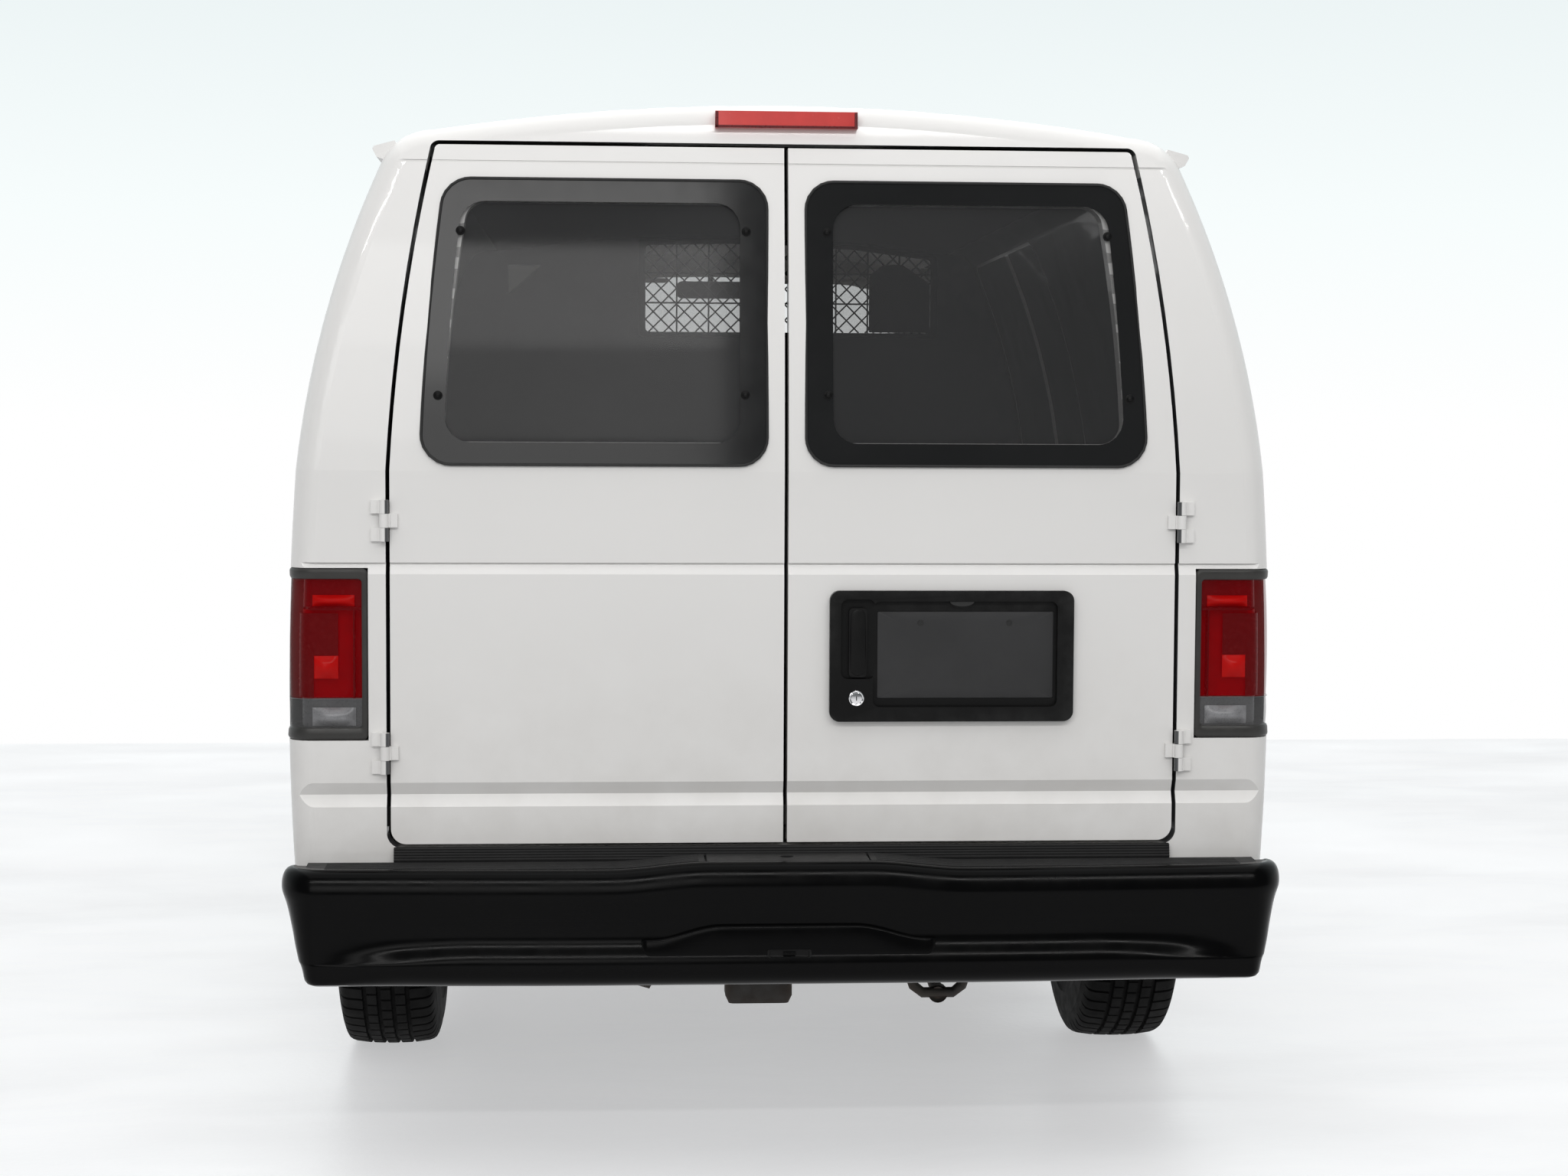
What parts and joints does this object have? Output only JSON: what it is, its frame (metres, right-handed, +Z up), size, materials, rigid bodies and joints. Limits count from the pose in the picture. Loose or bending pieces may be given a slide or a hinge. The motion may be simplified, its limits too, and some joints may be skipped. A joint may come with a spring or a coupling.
{
  "type": "full-size cargo van",
  "caption": "Full-size cargo van with two hinged rear doors, hinged side cargo doors, front doors, opening hood, steered front wheels and free-turning wheels.",
  "frame": {"origin": "on the ground, under the middle of the overall length and width", "axes": "+Y forward, +X to the right side of the van, +Z up"},
  "size_m": [2.586, 5.504, 2.0969],
  "materials": {
    "body_paint": "gloss",
    "tinted_glass": "gloss",
    "tail_lens": "gloss",
    "stop_lens": "gloss",
    "lamp_lens": "gloss",
    "dark_steel": "satin",
    "black_plastic": "matte",
    "grey_steel": "satin",
    "seat_cloth": "matte",
    "engine_iron": "matte",
    "galvanised": "satin",
    "tyre": "matte",
    "rim_steel": "satin"
  },
  "bodies": {
    "body": {"chassis_frame": "dark_steel", "cowl_top": "body_paint", "dashboard": "black_plastic", "driveshaft": "dark_steel", "engine": "engine_iron", "engine_cover": "black_plastic", "exhaust": "galvanised", "firewall": "body_paint", "floor_pan": "body_paint", "front_axle_beams": "dark_steel", "front_bumper": "dark_steel", "front_fenders": "body_paint", "front_panel": "body_paint", "fuel_tank": "galvanised", "grille": "black_plastic", "headlamps": "lamp_lens", "high_stop_lamp": "stop_lens", "leaf_springs": "dark_steel", "partition": "grey_steel", "rear_axle": "dark_steel", "rear_bumper": "dark_steel", "roof_panel": "body_paint", "seats": "seat_cloth", "side_panel_left": "body_paint", "side_panel_right": "body_paint", "spare_wheel": "tyre", "tail_lamps": "tail_lens", "windshield": "tinted_glass", "windshield_frame": "body_paint"},
    "rear_door_left": {"rear_door_left": "body_paint", "rear_glass_left": "tinted_glass"},
    "rear_door_right": {"rear_door_right": "body_paint", "rear_glass_right": "tinted_glass", "rear_handle": "black_plastic"},
    "side_door_front": {"side_door_front": "body_paint"},
    "side_door_rear": {"side_door_rear": "body_paint"},
    "front_door_left": {"front_door_left": "body_paint", "front_window_left": "tinted_glass", "mirror_left": "black_plastic"},
    "front_door_right": {"front_door_right": "body_paint", "front_window_right": "tinted_glass", "mirror_right": "black_plastic"},
    "hood": {"hood": "body_paint"},
    "knuckle_left": {"knuckle_left": "dark_steel"},
    "knuckle_right": {"knuckle_right": "dark_steel"},
    "wheel_front_left": {"tyre_front_left": "tyre", "rim_front_left": "rim_steel"},
    "wheel_front_right": {"tyre_front_right": "tyre", "rim_front_right": "rim_steel"},
    "wheel_rear_left": {"tyre_rear_left": "tyre", "rim_rear_left": "rim_steel"},
    "wheel_rear_right": {"tyre_rear_right": "tyre", "rim_rear_right": "rim_steel"},
    "steering_wheel": {"steering_wheel": "black_plastic"}
  },
  "joints": [
    {"name": "rear_door_left_hinge", "type": "hinge", "parent": "body", "child": "rear_door_left", "pos_m": [-0.788, -2.614, 1.04], "axis": [0, 0, -1], "range_deg": [0, 178]},
    {"name": "front_door_left_hinge", "type": "hinge", "parent": "body", "child": "front_door_left", "pos_m": [-1.004, 1.5, 0.9], "axis": [0, 0, -1], "range_deg": [0, 68]},
    {"name": "rear_door_right_hinge", "type": "hinge", "parent": "body", "child": "rear_door_right", "pos_m": [0.788, -2.614, 1.04], "axis": [0, 0, 1], "range_deg": [0, 178]},
    {"name": "front_door_right_hinge", "type": "hinge", "parent": "body", "child": "front_door_right", "pos_m": [1.004, 1.5, 0.9], "axis": [0, 0, 1], "range_deg": [0, 68]},
    {"name": "side_door_front_hinge", "type": "hinge", "parent": "body", "child": "side_door_front", "pos_m": [1.01758, 0.34, 1.04], "axis": [0, 0, 1], "range_deg": [0, 90]},
    {"name": "side_door_rear_hinge", "type": "hinge", "parent": "body", "child": "side_door_rear", "pos_m": [1.0068, -0.81, 1.04], "axis": [0, 0, -1], "range_deg": [0, 170]},
    {"name": "hood_hinge", "type": "hinge", "parent": "body", "child": "hood", "pos_m": [0, 1.848, 1.27101], "axis": [1, 0, 0], "range_deg": [0, 60]},
    {"name": "steer_left", "type": "hinge", "parent": "body", "child": "knuckle_left", "pos_m": [-0.7865, 1.934, 0.372], "axis": [0, 0, 1], "range_deg": [-35, 35]},
    {"name": "steer_right", "type": "hinge", "parent": "body", "child": "knuckle_right", "pos_m": [0.7865, 1.934, 0.372], "axis": [0, 0, 1], "range_deg": [-35, 35]},
    {"name": "wheel_front_left_spin", "type": "hinge", "parent": "knuckle_left", "child": "wheel_front_left", "pos_m": [-0.8815, 1.934, 0.372], "axis": [1, 0, 0], "continuous": true},
    {"name": "wheel_rear_left_spin", "type": "hinge", "parent": "body", "child": "wheel_rear_left", "pos_m": [-0.852, -1.571, 0.372], "axis": [1, 0, 0], "continuous": true},
    {"name": "wheel_front_right_spin", "type": "hinge", "parent": "knuckle_right", "child": "wheel_front_right", "pos_m": [0.8815, 1.934, 0.372], "axis": [1, 0, 0], "continuous": true},
    {"name": "wheel_rear_right_spin", "type": "hinge", "parent": "body", "child": "wheel_rear_right", "pos_m": [0.852, -1.571, 0.372], "axis": [1, 0, 0], "continuous": true},
    {"name": "steering_wheel_turn", "type": "hinge", "parent": "body", "child": "steering_wheel", "pos_m": [-0.56, 1.12, 1.29], "axis": [0, -0.866, 0.5], "range_deg": [-495, 495]}
  ],
  "couplings": [
    {"joint": "steer_right", "follows": "steer_left", "ratio": 1},
    {"joint": "steering_wheel_turn", "follows": "steer_left", "ratio": 14}
  ]
}
